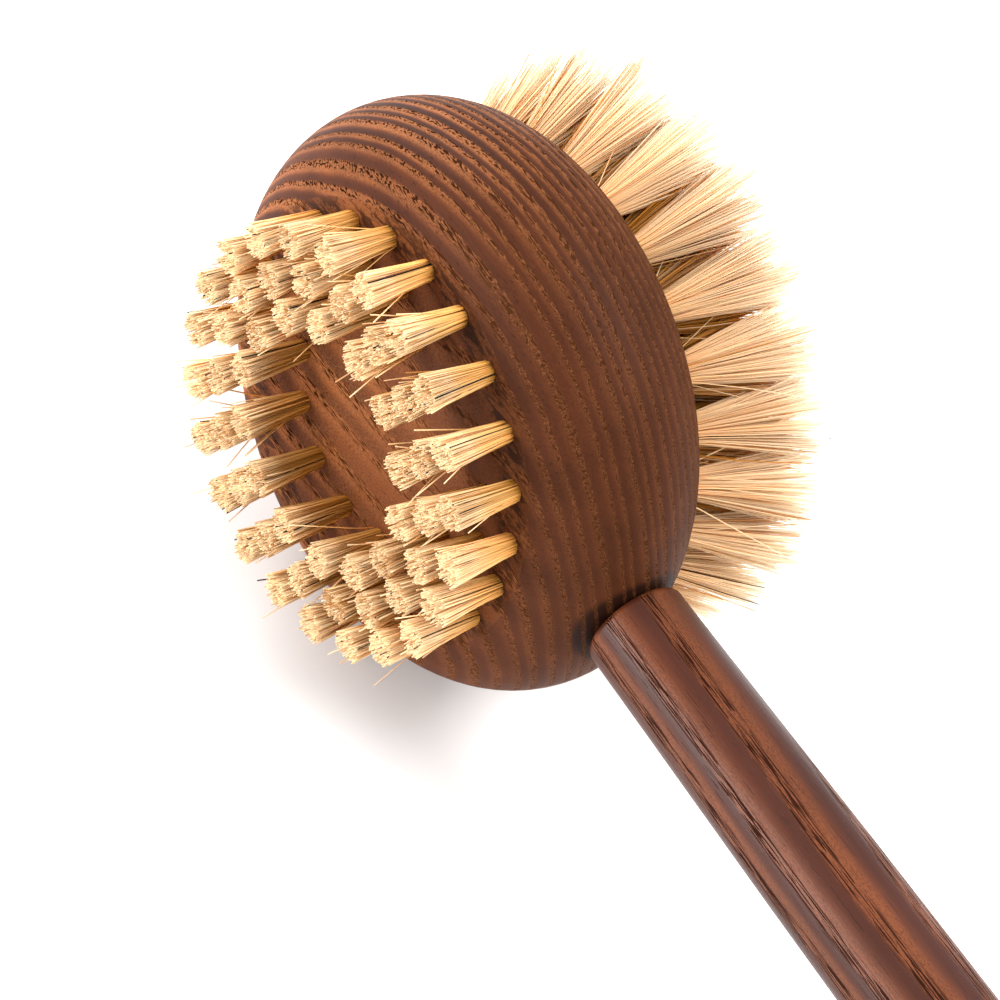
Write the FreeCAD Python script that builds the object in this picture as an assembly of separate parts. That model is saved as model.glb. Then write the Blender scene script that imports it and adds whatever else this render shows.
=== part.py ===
import FreeCAD, Part

import math
import os
from collections import namedtuple

# A body brush with a turned wooden head, a round handle glued into the head's side, short stiff
# bristles on one flat face and long soft bristles on the other.
# Sizes are in millimetres and angles in degrees. The brush is drawn about the middle of its head:
# X runs along the handle, Y runs through the head from the short bristles to the long ones, and Z
# is up. place_on_origin() then moves every piece so that the origin is the middle of the bottom of
# the box around the whole brush.

# Whole brush
overall_length = 400.0

# Head
head_diameter = 95.0
head_thickness = 32.0
rim_bulge = 11.3

# Handle, outside the head
shoulder_diameter = 16.7
shoulder_edge_radius = 1.2
swell_diameter = 20.4
swell_distance = 160.0
end_diameter = 19.0
end_rounding = 6.0
seat_depth = 0.5
seat_clearance = 0.3

# Tenon on the handle and its socket in the head
tenon_diameter = 11.0
tenon_length = 26.0
tenon_chamfer = 1.0
glue_gap = 0.05
socket_end_room = 1.0

# Hanging hole across the handle's end, along Y
hang_hole_diameter = 6.0
hang_hole_inset = 17.0
hang_hole_chamfer = 0.8

# Tufts and the holes that hold them. socket_wall is the wood left between a hole and the socket.
hole_diameter = 3.4
socket_wall = 1.95
tuft_clearance = 0.05

# Flat metal anchor driven across each tuft near the bottom of its hole
anchor_thickness = 0.35
anchor_height = 2.6
anchor_bite = 0.3
anchor_lift = 0.6

# Places that follow from the head's sizes. Every hole stops short of the socket.
head_radius = head_diameter / 2
half_thickness = head_thickness / 2
face_radius = head_radius - rim_bulge
hole_depth = half_thickness - tenon_diameter / 2 - glue_gap - socket_wall

# Rings of tufts, the same on both faces, counted in from the edge of the face
outer_ring_inset = 3.5
ring_step = 6.2
outer_ring_radius = face_radius - outer_ring_inset
Ring = namedtuple("Ring", "name radius tufts start_angle tufts_per_node")
rings = (
    Ring("inner", outer_ring_radius - 2 * ring_step, 14, 13.4, 2),
    Ring("middle", outer_ring_radius - ring_step, 18, 4.9, 3),
    Ring("outer", outer_ring_radius, 22, -1.5, 2),
)

# The two brushing faces. direction is the way out of the face along Y, spread is how much wider
# the pattern is at the tips than at the holes, and tip_gap is the room left between the cut ends
# of neighbouring tufts.
Face = namedtuple("Face", "name direction bristle_length spread tip_gap")
short_face = Face("short", -1, 12.2, 1.0, 0.6)
long_face = Face("long", 1, 18.2, 1.27, 0.374)
faces = (short_face, long_face)

# Places that follow for the handle
shoulder_x = head_radius - seat_depth
handle_end_x = overall_length - head_radius
hang_hole_x = handle_end_x - hang_hole_inset
cut_margin = 1.0

x_axis = FreeCAD.Vector(1, 0, 0)
y_axis = FreeCAD.Vector(0, 1, 0)
head_centre = FreeCAD.Vector(0, 0, 0)


def point(x, y, z=0.0):
    return FreeCAD.Vector(x, y, z)


def line(start, end):
    return Part.LineSegment(start, end).toShape()


def arc(start, middle, end):
    return Part.Arc(start, middle, end).toShape()


def corner_arc(start, end, centre):
    """The quarter round from start to end about centre."""
    chord_middle = (start + end) * 0.5
    radius = (start - centre).Length
    outward = (chord_middle - centre).normalize()
    return arc(start, centre + outward * radius, end)


def revolved(edges, axis):
    face = Part.Face(Part.Wire(edges))
    return face.revolve(head_centre, axis, 360)


def head_blank():
    """The turned block: two flat faces joined by a round bulging rim."""
    bottom = point(0, -half_thickness)
    bottom_edge = point(face_radius, -half_thickness)
    crown = point(head_radius, 0)
    top_edge = point(face_radius, half_thickness)
    top = point(0, half_thickness)
    edges = [
        line(bottom, bottom_edge),
        arc(bottom_edge, crown, top_edge),
        line(top_edge, top),
        line(top, bottom),
    ]
    return revolved(edges, y_axis)


def handle_socket():
    """The round socket for the tenon, with the shallow flat that the handle's shoulder seats on."""
    socket_x = shoulder_x - tenon_length - socket_end_room
    socket_length = head_radius + cut_margin - socket_x
    socket = Part.makeCylinder(tenon_diameter / 2 + glue_gap, socket_length, point(socket_x, 0), x_axis)
    seat_radius = shoulder_diameter / 2 + seat_clearance
    seat = Part.makeCylinder(seat_radius, seat_depth + cut_margin, point(shoulder_x, 0), x_axis)
    return socket.fuse(seat)


def hole_bottom_y(face):
    return face.direction * (half_thickness - hole_depth)


def anchor(face, ring):
    """One anchor, where the ring crosses the X axis. It is wider than the hole, so it bites the wood."""
    width = hole_diameter + 2 * anchor_bite
    near_y = hole_bottom_y(face) + face.direction * anchor_lift
    far_y = near_y + face.direction * anchor_height
    corner = point(ring.radius - anchor_thickness / 2, min(near_y, far_y), -width / 2)
    return Part.makeBox(anchor_thickness, anchor_height, width, corner)


def nearest_tuft(ring):
    """How far a tuft's hole is from its nearest neighbour, in its own ring or the next one."""
    next_in_ring = 2 * ring.radius * math.sin(math.pi / ring.tufts)
    return min(ring_step, next_in_ring)


def tip_radius(face, ring):
    return (nearest_tuft(ring) * face.spread - face.tip_gap) / 2


def tuft_hole(face, ring):
    """One drilled hole with the slits that its anchor cuts, where the ring crosses the X axis."""
    start = point(ring.radius, hole_bottom_y(face))
    outward = y_axis * face.direction
    drilled = Part.makeCylinder(hole_diameter / 2, hole_depth + cut_margin, start, outward)
    return drilled.fuse(anchor(face, ring))


def tuft(face, ring):
    """One tuft, where the ring crosses the X axis: straight in its hole, then fanning out to its tip."""
    outward = y_axis * face.direction
    root_radius = hole_diameter / 2 - tuft_clearance
    root_start = point(ring.radius, hole_bottom_y(face))
    root = Part.makeCylinder(root_radius, hole_depth, root_start, outward)
    mouth = point(ring.radius, face.direction * half_thickness)
    tip = point(ring.radius * face.spread, mouth.y + face.direction * face.bristle_length)
    mouth_circle = Part.Wire(Part.makeCircle(root_radius, mouth, y_axis))
    tip_circle = Part.Wire(Part.makeCircle(tip_radius(face, ring), tip, y_axis))
    fan = Part.makeLoft([mouth_circle, tip_circle], True, True)
    return root.fuse(fan).cut(anchor(face, ring))


def around_ring(shape, ring):
    """Copies of a shape that stands where the ring crosses the X axis, one for each tuft."""
    copies = []
    for index in range(ring.tufts):
        turned = shape.copy()
        angle = ring.start_angle + index * 360.0 / ring.tufts
        turned.rotate(head_centre, y_axis, -angle)
        copies.append(turned)
    return copies


def head_block():
    cutters = [handle_socket()]
    for face in faces:
        for ring in rings:
            cutters += around_ring(tuft_hole(face, ring), ring)
    return head_blank().cut(Part.makeCompound(cutters))


def handle_swell():
    """The long shallow curve of the handle's side, from the shoulder to the rounded end."""
    start = point(shoulder_x + shoulder_edge_radius, shoulder_diameter / 2)
    widest = point(shoulder_x + swell_distance, swell_diameter / 2)
    end = point(handle_end_x - end_rounding, end_diameter / 2)
    return Part.Arc(start, widest, end)


def handle_blank():
    """The turned handle: tenon, flat shoulder with a softened edge, swell and rounded end."""
    tenon_x = shoulder_x - tenon_length
    tenon_radius = tenon_diameter / 2
    swell = handle_swell()
    shoulder_centre = point(shoulder_x + shoulder_edge_radius, swell.StartPoint.y - shoulder_edge_radius)
    shoulder_rim = point(shoulder_x, shoulder_centre.y)
    end_centre = point(handle_end_x - end_rounding, swell.EndPoint.y - end_rounding)
    end_rim = point(handle_end_x, end_centre.y)
    edges = [
        line(point(tenon_x, 0), point(tenon_x, tenon_radius - tenon_chamfer)),
        line(point(tenon_x, tenon_radius - tenon_chamfer), point(tenon_x + tenon_chamfer, tenon_radius)),
        line(point(tenon_x + tenon_chamfer, tenon_radius), point(shoulder_x, tenon_radius)),
        line(point(shoulder_x, tenon_radius), shoulder_rim),
        corner_arc(shoulder_rim, swell.StartPoint, shoulder_centre),
        swell.toShape(),
        corner_arc(swell.EndPoint, end_rim, end_centre),
        line(end_rim, point(handle_end_x, 0)),
        line(point(handle_end_x, 0), point(tenon_x, 0)),
    ]
    return revolved(edges, x_axis)


def handle_radius(x):
    """The handle's radius at a place along its swell."""
    circle = handle_swell().toShape().Curve
    return circle.Center.y + math.sqrt(circle.Radius**2 - (x - circle.Center.x) ** 2)


def hang_hole():
    """The hole across the handle's end, with both rims chamfered."""
    hole_radius = hang_hole_diameter / 2
    wall = handle_radius(hang_hole_x)
    length = 2 * (wall + cut_margin)
    hole = Part.makeCylinder(hole_radius, length, point(hang_hole_x, -length / 2), y_axis)
    for direction in (-1, 1):
        start = point(hang_hole_x, direction * (wall - hang_hole_chamfer))
        widest = hole_radius + hang_hole_chamfer + cut_margin
        height = hang_hole_chamfer + cut_margin
        cone = Part.makeCone(hole_radius, widest, height, start, y_axis * direction)
        hole = hole.fuse(cone)
    return hole


def handle():
    return handle_blank().cut(hang_hole())


def tuft_nodes(face, ring):
    """The ring's tufts, a few neighbours to a node."""
    tufts = around_ring(tuft(face, ring), ring)
    nodes = {}
    for first in range(0, ring.tufts, ring.tufts_per_node):
        group = tufts[first : first + ring.tufts_per_node]
        number = first // ring.tufts_per_node + 1
        nodes[f"{face.name}_{ring.name}_tufts_{number:02d}"] = Part.makeCompound(group)
    return nodes


def place_on_origin(shape):
    """Moves a piece so that the origin is the middle of the bottom of the whole brush's box."""
    middle_x = handle_end_x - overall_length / 2
    middle_y = (long_face.bristle_length - short_face.bristle_length) / 2
    placed = shape.copy()
    placed.translate(point(-middle_x, -middle_y, head_radius))
    return placed


def build():
    nodes = {"head_block": head_block(), "handle": handle()}
    for face in faces:
        for ring in rings:
            anchors = around_ring(anchor(face, ring), ring)
            nodes[f"{face.name}_{ring.name}_anchors"] = Part.makeCompound(anchors)
            nodes.update(tuft_nodes(face, ring))
    return nodes


os.makedirs("parts", exist_ok=True)
for name, shape in build().items():
    place_on_origin(shape).exportStep(f"parts/{name}.step")
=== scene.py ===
import math
from collections import namedtuple

import bpy
import numpy as np
from mathutils import Matrix, Vector


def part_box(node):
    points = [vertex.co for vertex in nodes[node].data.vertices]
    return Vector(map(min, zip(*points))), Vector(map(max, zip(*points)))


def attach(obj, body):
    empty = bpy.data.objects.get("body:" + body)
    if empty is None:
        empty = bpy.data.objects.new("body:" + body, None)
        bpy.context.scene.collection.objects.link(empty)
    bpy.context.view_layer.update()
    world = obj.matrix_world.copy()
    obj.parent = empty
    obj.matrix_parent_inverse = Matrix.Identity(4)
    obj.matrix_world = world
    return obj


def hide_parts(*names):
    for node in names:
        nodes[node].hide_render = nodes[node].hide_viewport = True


# A double-sided body brush: a dark wooden head and handle, short stiff bristles on one face and
# long fanned bristles on the other. Metres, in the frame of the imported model. The patterns in the
# wood count in millimetres from the head's centre.

MM = 0.001
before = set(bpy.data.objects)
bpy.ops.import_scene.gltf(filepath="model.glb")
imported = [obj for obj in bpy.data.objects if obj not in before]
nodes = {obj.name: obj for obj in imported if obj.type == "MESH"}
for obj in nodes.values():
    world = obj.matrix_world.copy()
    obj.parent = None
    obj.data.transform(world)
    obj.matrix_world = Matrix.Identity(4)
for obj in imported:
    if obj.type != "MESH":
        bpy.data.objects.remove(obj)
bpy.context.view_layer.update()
dice = np.random.default_rng(11)

head_low, head_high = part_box("head_block")
head_centre = (head_low + head_high) / 2
half_thickness = (head_high.y - head_low.y) / 2
anchor_low, anchor_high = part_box("short_outer_anchors")
outer_ring_radius = (anchor_high.x - anchor_low.x) / 2
handle_low, handle_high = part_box("handle")
handle_radius = (handle_high.y - handle_low.y) / 2


# ---------------------------------------------------------------- shader helpers
class Shader:
    """A material and short names for the nodes that its pattern is made of."""

    def __init__(self, name):
        self.material = bpy.data.materials.new(name)
        self.material.use_nodes = True
        self.tree = self.material.node_tree
        self.bsdf = self.tree.nodes["Principled BSDF"]

    def node(self, kind, **settings):
        made = self.tree.nodes.new("ShaderNode" + kind)
        for key, value in settings.items():
            setattr(made, key, value)
        return made

    def put(self, socket, value):
        if isinstance(value, bpy.types.NodeSocket):
            self.tree.links.new(value, socket)
        else:
            socket.default_value = value

    def set(self, name, value):
        """Sets one of the material's own values."""
        self.put(self.bsdf.inputs[name], value)

    def math(self, operation, a, b=0.0, c=0.0):
        made = self.node("Math", operation=operation)
        for socket, value in zip(made.inputs, (a, b, c)):
            self.put(socket, value)
        return made.outputs[0]

    def line(self, value, slope, base):
        return self.math("MULTIPLY_ADD", value, slope, base)

    def swung(self, value, pattern, amount):
        """The value, moved up and down by a pattern that runs from 0 to 1."""
        return self.line(self.math("SUBTRACT", pattern, 0.5), amount, value)

    def both(self, a, b):
        return self.math("MULTIPLY", a, b)

    def hypotenuse(self, a, b):
        return self.math("SQRT", self.math("ADD", self.both(a, a), self.both(b, b)))

    def vector_math(self, operation, a, b):
        made = self.node("VectorMath", operation=operation)
        self.put(made.inputs[0], a)
        self.put(made.inputs[1], b)
        return made.outputs[0]

    def parts(self, vector):
        split = self.node("SeparateXYZ")
        self.put(split.inputs[0], vector)
        return split.outputs

    def smooth(self, value, low, high):
        """0 below low and 1 above high, with a soft step between; high may be the lower one."""
        made = self.node("MapRange", interpolation_type="SMOOTHSTEP")
        self.put(made.inputs["Value"], value)
        made.inputs["From Min"].default_value = low
        made.inputs["From Max"].default_value = high
        return made.outputs["Result"]

    def noise(self, place, scale=1.0, detail=2.0, roughness=0.5):
        made = self.node("TexNoise")
        self.put(made.inputs["Vector"], place)
        made.inputs["Scale"].default_value = scale
        made.inputs["Detail"].default_value = detail
        made.inputs["Roughness"].default_value = roughness
        return made.outputs["Fac"]

    def mix(self, share, a, b):
        made = self.node("Mix", data_type="RGBA")
        self.put(made.inputs["Factor"], share)
        self.put(made.inputs[6], (*a, 1.0) if isinstance(a, tuple) else a)
        self.put(made.inputs[7], (*b, 1.0) if isinstance(b, tuple) else b)
        return made.outputs[2]

    def scaled(self, colour, factor):
        """The colour times a number."""
        made = self.node("VectorMath", operation="SCALE")
        self.put(made.inputs[0], colour)
        self.put(made.inputs["Scale"], factor)
        return made.outputs[0]


# ---------------------------------------------------------------- wood
# A pattern drawn out along the grain: how often it changes in a millimetre along X and across it.
Grain = namedtuple("Grain", "along across detail roughness")
SLOW_WANDER = Grain(0.015, 0.03, 1.0, 0.5)
RIPPLE = Grain(0.06, 0.2, 2.0, 0.5)
FIBRES = Grain(0.10, 3.5, 3.0, 0.65)
MOTTLE = Grain(0.03, 0.15, 2.0, 0.5)
FUZZ = Grain(1.9, 6.5, 2.0, 0.75)
HOLE_SHADE_PATCHES = Grain(0.35, 1.1, 3.0, 0.6)
PORE_PATCHES = Grain(0.05, 0.25, 1.0, 0.5)

RIPPLE_SHARE = 0.25  # of the rings' wander
YEAR_CHANGES = 0.4  # how often good and poor years change, per ring
YEAR_SWING = 1.15  # how far they move a ring, in rings
FAR_END = (18.0, -26.0)  # where along X the near end's contrast ends, and where the far end's begins

# The wood's pith runs along X at pith, (y, z) from the head's centre. Growth rings are sheets round
# it, about spacing apart, and first is how far out one of them starts. tilt is the rings' slope
# along X and wander how far they stray. contrast says how clear they and the pores are, at the near
# end and at the far end. pores is the pattern of the grooves in the early wood, and pore_limit how rare they
# are. fade is the wood's tone at the head's centre, and its change per millimetre along X
# and Z: the darkening toward the handle and the top is partly the wood's own tone and partly painted shade.
# seam is how dark the painted shadow round the handle's seat is.
Wood = namedtuple(
    "Wood",
    "pith tilt spacing first wander contrast pores pore_limit dark light plain fade roughness index seam",
)
HEAD_WOOD = Wood(
    pith=(135.1, 46.1),
    tilt=0.037,
    spacing=2.04,
    first=152.2,
    wander=2.0,
    contrast=(0.2, 1.0),
    pores=Grain(0.42, 4.0, 1.0, 0.4),
    pore_limit=0.585,
    dark=(0.034, 0.0095, 0.0048),
    light=(0.32, 0.11, 0.034),
    plain=(0.112, 0.030, 0.0092),
    # Darker toward the handle and the top: partly the wood's tone, partly painted shade.
    fade=(0.91, -0.006, -0.006),
    roughness=0.5,
    index=1.16,
    # Painted shadow round the handle's seat.
    seam=0.9,
)
HANDLE_WOOD = Wood(
    pith=(-60.0, -45.0),
    tilt=0.012,
    spacing=5.2,
    first=0.9,
    wander=3.0,
    contrast=(0.9, 0.9),
    pores=Grain(0.12, 5.4, 1.0, 0.4),
    pore_limit=0.565,
    dark=(0.038, 0.0082, 0.0038),
    light=(0.145, 0.038, 0.0100),
    plain=(0.078, 0.0185, 0.0057),
    fade=(1.0, 0.0, 0.0),
    roughness=0.32,
    index=1.31,
    seam=0.0,
)


class WoodShader(Shader):
    """Heat-treated ash: growth rings, pores in rows, and fine fibres along X."""

    def __init__(self, name, wood):
        super().__init__(name)
        self.wood = wood
        # A dark colour for the pores, and for the painted shade round the outer holes and the painted shadow
        # round the handle's seat.
        self.pore_dark_and_painted_shade = tuple(0.3 * c for c in wood.dark)
        coordinates = self.node("TexCoord")
        place = self.vector_math("SUBTRACT", coordinates.outputs["Object"], tuple(head_centre))
        self.place = self.vector_math("MULTIPLY", place, (1 / MM, 1 / MM, 1 / MM))
        self.x, self.y, self.z = self.parts(self.place)
        normal = self.parts(self.node("NewGeometry").outputs["Normal"])
        self.flat_face = self.smooth(self.math("ABSOLUTE", normal[1]), 0.97, 0.995)
        self.fibres = self.grain(FIBRES)
        self.fuzz = self.grain(FUZZ)
        self.rings = self.count_rings()
        self.phase = self.math("FRACT", self.rings)
        near, far = wood.contrast
        self.clearness = self.line(self.smooth(self.x, *FAR_END), far - near, near)
        # The wood darkens toward the handle and the top: partly its own tone, partly painted shade.
        fade = wood.fade
        self.tone_and_painted_shade = self.line(self.z, fade[2], self.line(self.x, fade[1], fade[0]))
        self.pale = self.scaled(wood.light, self.tone_and_painted_shade)
        self.finish()

    def grain(self, grain):
        stretched = self.vector_math("MULTIPLY", self.place, (grain.along, grain.across, grain.across))
        return self.noise(stretched, detail=grain.detail, roughness=grain.roughness)

    def count_rings(self):
        """How many rings out a point is. The fraction is its place within its ring."""
        wood = self.wood
        away_y = self.math("SUBTRACT", self.y, wood.pith[0])
        away_z = self.math("SUBTRACT", self.z, wood.pith[1])
        distance = self.line(self.x, wood.tilt, self.hypotenuse(away_y, away_z))
        distance = self.swung(distance, self.grain(SLOW_WANDER), wood.wander)
        distance = self.swung(distance, self.grain(RIPPLE), RIPPLE_SHARE * wood.wander)
        # Some years grow more than others.
        year = self.node("CombineXYZ")
        self.put(year.inputs[0], self.both(distance, YEAR_CHANGES / wood.spacing))
        good_years = self.noise(year.outputs[0], detail=1.0)
        distance = self.swung(distance, good_years, YEAR_SWING * wood.spacing)
        return self.math("DIVIDE", self.math("SUBTRACT", distance, wood.first), wood.spacing)

    def ring_strength(self):
        """How strongly a ring shows, which differs from ring to ring."""
        chance = self.node("TexWhiteNoise", noise_dimensions="1D")
        self.put(chance.inputs["W"], self.math("FLOOR", self.rings))
        return self.both(self.line(chance.outputs["Value"], 0.5, 0.55), self.clearness)

    def ringed(self):
        """Early wood at the start of each ring, late wood darkening to its sharp end."""
        wood = self.wood
        phase = self.phase
        strength = self.ring_strength()
        early = self.both(self.smooth(phase, 0.0, 0.06), self.smooth(phase, 0.62, 0.36))
        early = self.both(early, self.smooth(self.fuzz, 0.36, 0.56))
        late = self.both(self.smooth(phase, 0.48, 0.78), self.smooth(phase, 1.0, 0.96))
        between = tuple(0.6 * p + 0.4 * d for p, d in zip(wood.plain, wood.dark))
        colour = self.mix(self.smooth(self.fibres, 0.28, 0.68), between, wood.plain)
        colour = self.mix(self.both(early, strength), colour, wood.light)
        colour = self.mix(self.both(late, strength), colour, wood.dark)
        colour = self.scaled(colour, self.line(self.grain(MOTTLE), 0.9, 0.55))
        # Partly tone, partly painted shade: darker toward the handle and the top.
        return self.scaled(colour, self.tone_and_painted_shade)

    def torn_with_hole_shade(self, colour):
        """The flat faces are rougher and paler than the turned rim. Round the outer holes they get painted
        shade, where the tufts shade the face.
        """
        rough = self.both(self.flat_face, self.smooth(self.fuzz, 0.36, 0.62))
        colour = self.mix(self.both(rough, 0.4), colour, self.pale)
        from_centre = self.hypotenuse(self.x, self.z)
        from_holes = self.math("ABSOLUTE", self.math("SUBTRACT", from_centre, outer_ring_radius / MM))
        # Painted shade in patches round the outer holes, where the tufts shade the face.
        hole_shade = self.both(self.smooth(self.grain(HOLE_SHADE_PATCHES), 0.44, 0.56), self.smooth(from_holes, 4.5, 1.5))
        hole_shade = self.both(hole_shade, self.flat_face)
        return self.mix(self.both(hole_shade, 0.75), colour, self.pore_dark_and_painted_shade)

    def seat_shadowed(self, colour):
        """Painted shadow on the head: a dark line round the handle's seat, where the gap at the handle's
        shoulder is in shade.
        """
        from_axis = self.math("DIVIDE", self.hypotenuse(self.y, self.z), handle_radius / MM)
        # Painted shadow: a dark band just outside the handle's shoulder.
        seat_shadow_mask = self.both(self.smooth(from_axis, 1.02, 0.86), self.smooth(self.x, 30.0, 40.0))
        return self.mix(self.both(seat_shadow_mask, self.wood.seam), colour, self.pore_dark_and_painted_shade)

    def pored(self, colour):
        """Thin grooves along X with pale edges, in rows in the early wood and a few on their own."""
        thin = self.grain(self.wood.pores)
        row = self.math("MAXIMUM", self.smooth(self.phase, 0.92, 1.0), self.smooth(self.phase, 0.34, 0.22))
        limit = self.line(self.grain(PORE_PATCHES), -0.14, self.wood.pore_limit)
        over = self.math("SUBTRACT", thin, limit)
        edge = self.both(self.smooth(over, -0.08, -0.02), row)
        colour = self.mix(self.both(edge, 0.6), colour, self.pale)
        lone = self.both(self.smooth(thin, 0.70, 0.76), 0.5)
        pore = self.math("MAXIMUM", self.both(self.smooth(over, 0.0, 0.035), row), lone)
        depth = self.line(self.clearness, 0.3, 0.66)
        return self.mix(self.both(pore, depth), colour, self.pore_dark_and_painted_shade), pore

    def relief(self, pore):
        """Pores sink, and fibres and the rough flat faces stand up a little."""
        height = self.line(self.fibres, 0.05, self.both(pore, -0.2))
        height = self.line(self.both(self.flat_face, self.fuzz), 0.10, height)
        bump = self.node("Bump")
        bump.inputs["Strength"].default_value = 0.8
        bump.inputs["Distance"].default_value = MM
        self.put(bump.inputs["Height"], height)
        return bump.outputs["Normal"]

    def finish(self):
        colour, pore = self.pored(self.seat_shadowed(self.torn_with_hole_shade(self.ringed())))
        self.set("Base Color", colour)
        self.set("Roughness", self.line(self.fibres, 0.15, self.line(pore, 0.3, self.wood.roughness)))
        self.set("IOR", self.wood.index)
        self.set("Specular IOR Level", self.line(pore, -0.4, 0.5))
        self.set("Normal", self.relief(pore))


# ---------------------------------------------------------------- bristles and metal
BLACK_FIBRE = (0.012, 0.009, 0.008)


def bristle_material(name, root, body, tip, amber, uneven, index, through_share):
    """The colour of a fibre runs from its root to its tip, and the fibres run from amber to pale
    with a few black ones. The mesh holds how far along a fibre a point is, the fibre's own tint
    and its kind. uneven is how much the fibres differ in brightness, and through_share how much
    light shines through them."""
    s = Shader(name)
    along = s.node("Attribute", attribute_name="along").outputs["Fac"]
    tint = s.node("Attribute", attribute_name="tint").outputs["Fac"]
    kind = s.node("Attribute", attribute_name="kind").outputs["Fac"]
    colour = s.mix(s.smooth(along, 0.0, 0.45), root, body)
    colour = s.mix(s.smooth(along, 0.4, 1.0), colour, tip)
    colour = s.mix(s.smooth(tint, 0.62, 0.0), colour, amber)
    colour = s.scaled(colour, s.line(tint, uneven, 0.98 - 0.5 * uneven))
    colour = s.mix(s.smooth(kind, 0.45, 0.55), colour, BLACK_FIBRE)
    s.set("Base Color", colour)
    s.set("Roughness", 0.35)
    s.set("IOR", index)
    s.set("Specular IOR Level", s.line(kind, -0.4, 0.5))
    through = s.node("BsdfTranslucent")
    s.put(through.inputs["Color"], colour)
    blend = s.node("MixShader")
    blend.inputs["Fac"].default_value = through_share
    s.put(blend.inputs[1], s.bsdf.outputs[0])
    s.put(blend.inputs[2], through.outputs[0])
    s.put(s.tree.nodes["Material Output"].inputs["Surface"], blend.outputs[0])
    return s.material


def anchor_material():
    s = Shader("anchor_metal")
    scratch = s.noise(s.node("TexCoord").outputs["Object"], scale=900.0)
    s.set("Metallic", 1.0)
    s.set("Base Color", s.mix(scratch, (0.42, 0.41, 0.39), (0.62, 0.61, 0.58)))
    s.set("Roughness", s.line(scratch, 0.3, 0.25))
    return s.material


# ---------------------------------------------------------------- tufts
CLUMPS = 9  # strands that a tuft's fibres gather into
ROOT_DEPTH = 2.2 * MM  # how far below the face the fibres start
FLOOR_GAP = 0.2 * MM
SIDES = 3  # of a fibre

# How the fibres of a ring's tufts fan out: how much wider than the solid tuft, how late along their
# length, and how pale they are. The inner rings' lower paleness is painted shade: it makes their
# fibres amber, like fibres in the shade of the outer tufts.
Fan = namedtuple("Fan", "width lateness pale")
# lean and clump_lean are shares of the tip's radius, taper is the tip's share of a fibre's width,
# and loose and black are shares of the fibres.
TuftStyle = namedtuple(
    "TuftStyle",
    "count steps root_radius fibre_radius taper outer inner lean clump_lean bow length_spread loose black",
)
SHORT_TUFTS = TuftStyle(
    count=260,
    steps=3,
    root_radius=1.6 * MM,
    fibre_radius=0.12 * MM,
    taper=0.92,
    outer=Fan(1.0, 1.08, 0.62),
    inner=Fan(1.0, 1.08, 0.5),
    lean=0.05,
    clump_lean=0.08,
    bow=0.06 * MM,
    length_spread=0.15 * MM,
    loose=0.02,
    black=0.013,
)
LONG_TUFTS = TuftStyle(
    count=400,
    steps=4,
    root_radius=1.6 * MM,
    fibre_radius=0.115 * MM,
    taper=0.65,
    outer=Fan(1.74, 1.0, 0.66),
    # Painted shade: a low paleness makes the inner and middle tufts amber.
    inner=Fan(2.25, 0.7, 0.11),
    lean=0.045,
    clump_lean=0.075,
    bow=0.15 * MM,
    length_spread=0.42 * MM,
    loose=0.02,
    black=0.006,
)


def mesh_places(node):
    """The places of a node's vertices, about the head's centre."""
    mesh = nodes[node].data
    flat = np.empty(len(mesh.vertices) * 3, np.float32)
    mesh.vertices.foreach_get("co", flat)
    return flat.reshape(-1, 3).astype(float) - np.array(head_centre)


def middle_of(points):
    return (points.min(0) + points.max(0)) / 2


def tufts_in(node):
    """Each tuft of a node as (root centre, tip centre, tip radius), about the head's centre. The
    tufts of a node are told apart by their angle round the head."""
    places = mesh_places(node)
    angle = np.degrees(np.arctan2(places[:, 2], places[:, 0]))
    turn = (angle - angle[0] + 180.0) % 360.0 - 180.0
    order = np.argsort(turn)
    gap = 4.0
    breaks = np.nonzero(np.diff(turn[order]) > gap)[0] + 1
    slack = 0.05 * MM
    found = []
    for group in np.split(order, breaks):
        own = places[group]
        depth = np.abs(own[:, 1])
        root = middle_of(own[depth < depth.min() + slack])
        end = own[depth > depth.max() - slack]
        found.append((root, middle_of(end), np.ptp(end[:, 0]) / 2))
    return found


def unit(vectors):
    return vectors / np.linalg.norm(vectors, axis=-1, keepdims=True)


def fibre_ends(tip, tip_radius, side, share, spot, clump, style):
    """Where the fibres end: spread over the tip, gathered into strands, of uneven lengths, with a
    few loose ones."""
    count = style.count
    lean = dice.normal(0, style.lean, (count, 3)) * tip_radius
    lean += dice.normal(0, style.clump_lean, (CLUMPS, 3))[clump] * tip_radius
    lean[:, 1] = 0
    ends = tip + spot * (share**0.85 * tip_radius)[:, None] + lean
    ends[:, 1] += side * dice.normal(0, style.length_spread, count)
    ends[:, 1] -= side * 0.35 * share**2 * style.length_spread
    loose = dice.random(count) < style.loose
    reach = np.array([0.8, 0.2, 0.8]) * tip_radius
    ends[loose] += dice.normal(0, 1.0, (loose.sum(), 3)) * reach
    return ends


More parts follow.
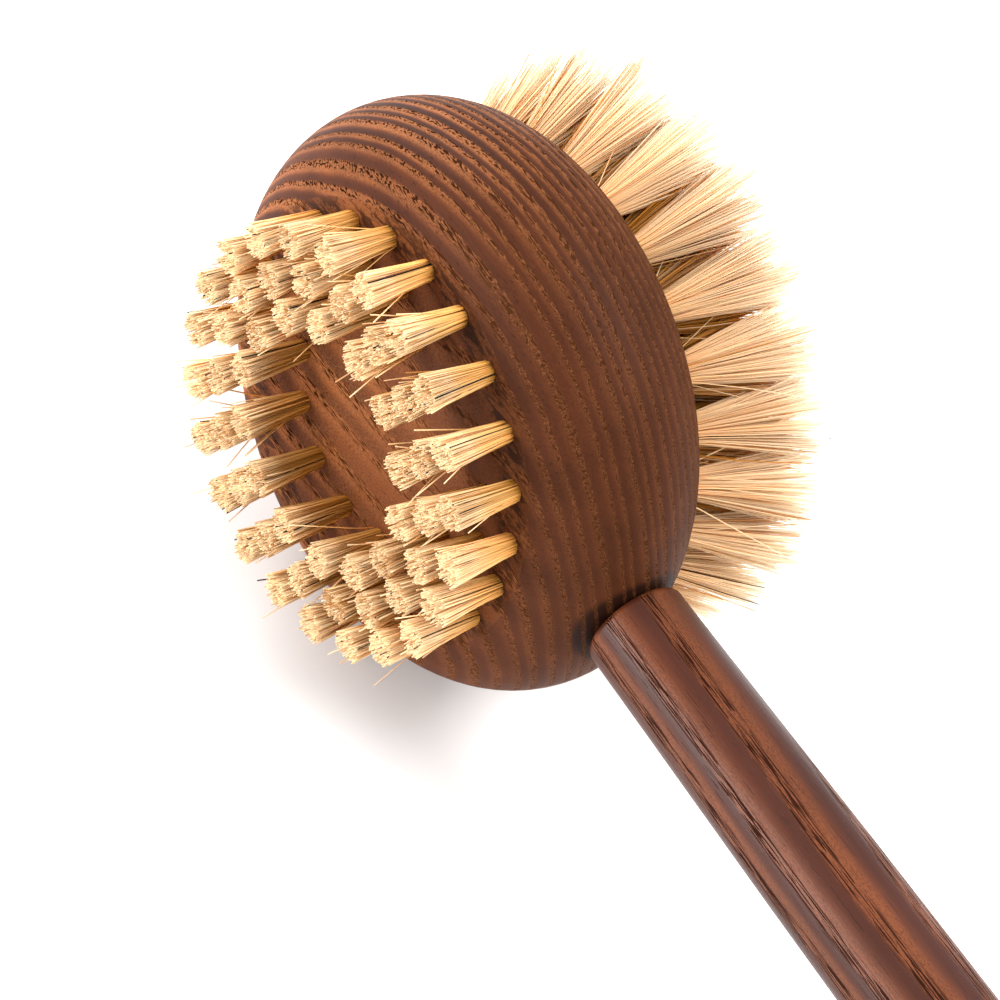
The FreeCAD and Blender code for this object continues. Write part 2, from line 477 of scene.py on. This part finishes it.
def fibre_paths(root, tip, tip_radius, lateness, style):
    """The centre lines of a tuft's fibres, an array of count x (steps + 1) x 3, and the strand
    that each fibre belongs to."""
    count = style.count
    side = math.copysign(1.0, tip[1])
    share = np.sqrt(dice.random(count))
    angle = dice.random(count) * 2 * math.pi
    spot = np.stack([np.cos(angle), np.zeros(count), np.sin(angle)], 1)
    start = np.array([root[0], side * (half_thickness - ROOT_DEPTH), root[2]])
    starts = start + spot * (share * style.root_radius)[:, None]
    clump = (angle * CLUMPS / (2 * math.pi)).astype(int) % CLUMPS
    ends = fibre_ends(tip, tip_radius, side, share, spot, clump, style)
    # The fibres run straight up to the mouth of the hole, fan out from there, and bow a little.
    s = np.linspace(0, 1, style.steps + 1)[None, :, None]
    mouth = ROOT_DEPTH / (abs(tip[1]) - half_thickness + ROOT_DEPTH)
    fanned = np.clip((s - 0.5 * mouth) / (1 - 0.5 * mouth), 0, 1) ** lateness
    paths = starts[:, None] + (ends - starts)[:, None] * np.concatenate([fanned, s, fanned], 2)
    bend = dice.normal(0, style.bow, (count, 1, 3)) * np.array([1, 0, 1])
    paths += bend * np.sin(math.pi * np.clip((s - mouth) / (1 - mouth), 0, 1))
    # The lowest fibres lie on the floor.
    paths[..., 2] = np.maximum(paths[..., 2], FLOOR_GAP - head_centre.z)
    return paths, clump


def fibre_tubes(paths, radius, taper):
    """The corners of the fibres, an array of count x rows x sides x 3."""
    forward = unit(np.gradient(paths, axis=1))
    aside = unit(np.cross(forward, np.array([0.31, 0.17, 0.94])))
    above = np.cross(forward, aside)
    s = np.linspace(0, 1, paths.shape[1])
    width = radius[:, None] * (1 - (1 - taper) * s[None])
    spin = dice.random((len(paths), 1)) * 2 * math.pi
    ring = []
    for corner in range(SIDES):
        a = spin + corner * 2 * math.pi / SIDES
        offset = aside * np.cos(a)[..., None] + above * np.sin(a)[..., None]
        ring.append(paths + offset * width[..., None])
    return np.stack(ring, 2)


def tube_faces(index):
    """The sides of the fibres and the caps on their tips, from the numbers of their corners."""
    nearer, farther = index[:, :-1], index[:, 1:]
    faces = []
    for corner in range(SIDES):
        other = (corner + 1) % SIDES
        quad = (nearer[..., corner], nearer[..., other], farther[..., other], farther[..., corner])
        faces += np.stack(quad, -1).reshape(-1, 4).tolist()
    return faces + index[:, -1].tolist()


def fibre_mesh(name, bunches):
    """One mesh of three-sided fibres. Each bunch is (paths, radius, taper, tint, kind)."""
    places, faces, along, tints, kinds, corners = [], [], [], [], [], []
    first = 0
    for paths, radius, taper, tint, kind in bunches:
        shape = (*paths.shape[:2], SIDES)
        size = math.prod(shape)
        places.append(fibre_tubes(paths, radius, taper).reshape(-1, 3))
        faces += tube_faces(first + np.arange(size).reshape(shape))
        along.append(np.broadcast_to(np.linspace(0, 1, shape[1])[None, :, None], shape).ravel())
        tints.append(np.broadcast_to(tint[:, None, None], shape).ravel())
        kinds.append(np.broadcast_to(kind[:, None, None], shape).ravel())
        corners.append(np.broadcast_to(np.arange(SIDES), shape).ravel())
        first += size
    along, tints, kinds, corners = (np.concatenate(v) for v in (along, tints, kinds, corners))
    mesh = bpy.data.meshes.new(name)
    mesh.from_pydata((np.concatenate(places) + np.array(head_centre)).tolist(), [], faces)
    mesh.shade_smooth()
    for label, values in (("along", along), ("tint", tints), ("kind", kinds)):
        attribute = mesh.attributes.new(label, "FLOAT", "POINT")
        attribute.data.foreach_set("value", values.astype(np.float32))
    add_palette_map(mesh, along, tints, kinds, corners)
    made = bpy.data.objects.new(name, mesh)
    bpy.context.scene.collection.objects.link(made)
    return made


def add_palette_map(mesh, along, tint, kind, corner):
    """A map whose across is the fibre's tint and whose up is how far along it is, so fibres that
    share a spot on it share a colour. Black fibres have a column of their own."""
    spot_width = 0.012
    across = np.where(kind > 0.5, 0.95, 0.04 + 0.82 * tint)
    across += spot_width * (corner - 1)
    upward = 0.03 + 0.93 * along + spot_width * (corner == 1)
    spots = np.stack([across, upward], 1).astype(np.float32)
    vertex = np.empty(len(mesh.loops), np.int32)
    mesh.loops.foreach_get("vertex_index", vertex)
    mesh.uv_layers.new(name="OFBake").data.foreach_set("uv", spots[vertex].ravel())


def brush_tufts(node, style, material):
    """Replaces a node's solid tufts with fibres."""
    fan = style.outer if "outer" in node else style.inner
    bunches = []
    for root, tip, radius in tufts_in(node):
        paths, clump = fibre_paths(root, tip, radius * fan.width, fan.lateness, style)
        # The inner rings' lower tint is painted shade.
        tint = fan.pale + dice.normal(0, 0.05) + dice.normal(0, 0.08, CLUMPS)[clump]
        tint = np.clip(tint + dice.normal(0, 0.2, style.count), 0, 1)
        kind = (dice.random(style.count) < style.black).astype(float)
        width = style.fibre_radius * dice.uniform(0.8, 1.25, style.count)
        bunches.append((paths, width, style.taper, tint, kind))
    made = fibre_mesh(node + "_fibres", bunches)
    made.data.materials.append(material)
    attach(made, "root")
    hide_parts(node)


# ---------------------------------------------------------------- the brush
head_wood = WoodShader("head_wood", HEAD_WOOD).material
handle_wood = WoodShader("handle_wood", HANDLE_WOOD).material
anchor_metal = anchor_material()
short_bristle = bristle_material(
    "short_bristle",
    root=(0.80, 0.38, 0.05),
    body=(0.91, 0.55, 0.17),
    tip=(0.97, 0.75, 0.44),
    amber=(0.80, 0.33, 0.025),
    uneven=0.6,
    index=1.8,
    through_share=0.33,
)
long_bristle = bristle_material(
    "long_bristle",
    root=(0.97, 0.66, 0.30),
    body=(0.99, 0.80, 0.52),
    tip=(0.99, 0.90, 0.75),
    amber=(0.95, 0.45, 0.055),
    uneven=0.36,
    index=1.4,
    through_share=0.5,
)


def dress(node, material):
    shown = nodes[node]
    shown.data.materials.clear()
    shown.data.materials.append(material)


for node in sorted(nodes):
    if node == "head_block":
        dress(node, head_wood)
    elif node == "handle":
        dress(node, handle_wood)
    elif node.endswith("anchors"):
        dress(node, anchor_metal)
    elif node.startswith("short"):
        brush_tufts(node, SHORT_TUFTS, short_bristle)
    else:
        brush_tufts(node, LONG_TUFTS, long_bristle)

# ---------------------------------------------------------------- floor, light and camera
scene = bpy.context.scene
FLOOR_REACH = 3.0
LIGHT_DISTANCE = 1.3
WORLD_STRENGTH = 1.15
# The camera looks at the head's centre from the short bristles' side, and from above.
AZIMUTH = math.radians(35.25)
ELEVATION = math.radians(47.46)
ROLL = math.radians(25.75)
CAMERA_DISTANCE = 0.8
CAMERA_RIGHT = 0.00598
CAMERA_DOWN = 0.01655


def paper_material():
    s = Shader("paper")
    mottle = s.noise(s.node("TexCoord").outputs["Object"], scale=3.0)
    s.set("Base Color", s.mix(mottle, (0.86, 0.86, 0.86), (0.88, 0.88, 0.88)))
    s.set("Roughness", 0.9)
    return s.material


def paper_floor():
    mesh = bpy.data.meshes.new("floor")
    r = FLOOR_REACH
    mesh.from_pydata([(-r, -r, 0), (r, -r, 0), (r, r, 0), (-r, r, 0)], [], [(0, 1, 2, 3)])
    mesh.materials.append(paper_material())
    made = bpy.data.objects.new("floor", mesh)
    scene.collection.objects.link(made)
    return made


def studio_world():
    world = bpy.data.worlds.new("studio")
    world.use_nodes = True
    background = world.node_tree.nodes["Background"]
    background.inputs["Color"].default_value = (1.0, 1.0, 1.0, 1.0)
    background.inputs["Strength"].default_value = WORLD_STRENGTH
    return world


def soft_light(name, direction, size, power):
    """A round soft light that looks at the head's centre from a direction."""
    lamp = bpy.data.lights.new(name, "AREA")
    lamp.shape = "DISK"
    lamp.size = size
    lamp.energy = power
    made = bpy.data.objects.new(name, lamp)
    way = Vector(direction).normalized()
    made.location = head_centre + way * LIGHT_DISTANCE
    made.rotation_mode = "QUATERNION"
    made.rotation_quaternion = way.to_track_quat("Z", "Y")
    scene.collection.objects.link(made)


def studio_camera():
    flat = math.cos(ELEVATION)
    back = Vector((math.sin(AZIMUTH) * flat, -math.cos(AZIMUTH) * flat, math.sin(ELEVATION)))
    level_right = Vector((math.cos(AZIMUTH), math.sin(AZIMUTH), 0.0))
    level_up = back.cross(level_right)
    right = level_right * math.cos(ROLL) + level_up * math.sin(ROLL)
    up = level_up * math.cos(ROLL) - level_right * math.sin(ROLL)
    data = bpy.data.cameras.new("camera")
    data.lens = 185.34
    data.sensor_width = 36.0
    data.clip_start = 0.05
    made = bpy.data.objects.new("camera", data)
    scene.collection.objects.link(made)
    place = head_centre + back * CAMERA_DISTANCE + right * CAMERA_RIGHT - up * CAMERA_DOWN
    turn = Matrix((right, up, back)).transposed().to_4x4()
    made.matrix_world = Matrix.Translation(place) @ turn
    return made


paper_floor()
scene.world = studio_world()
soft_light("far_softbox", (-0.88, 0.05, 0.42), 0.8, 16.0)
soft_light("side_softbox", (-0.39, -0.91, 0.10), 0.7, 20.0)
soft_light("top_softbox", (0.36, 0.30, 0.85), 0.8, 22.0)
# Light bounces many times among pale fibres.
scene.cycles.diffuse_bounces = 10
scene.camera = studio_camera()
scene.view_settings.view_transform = "Standard"
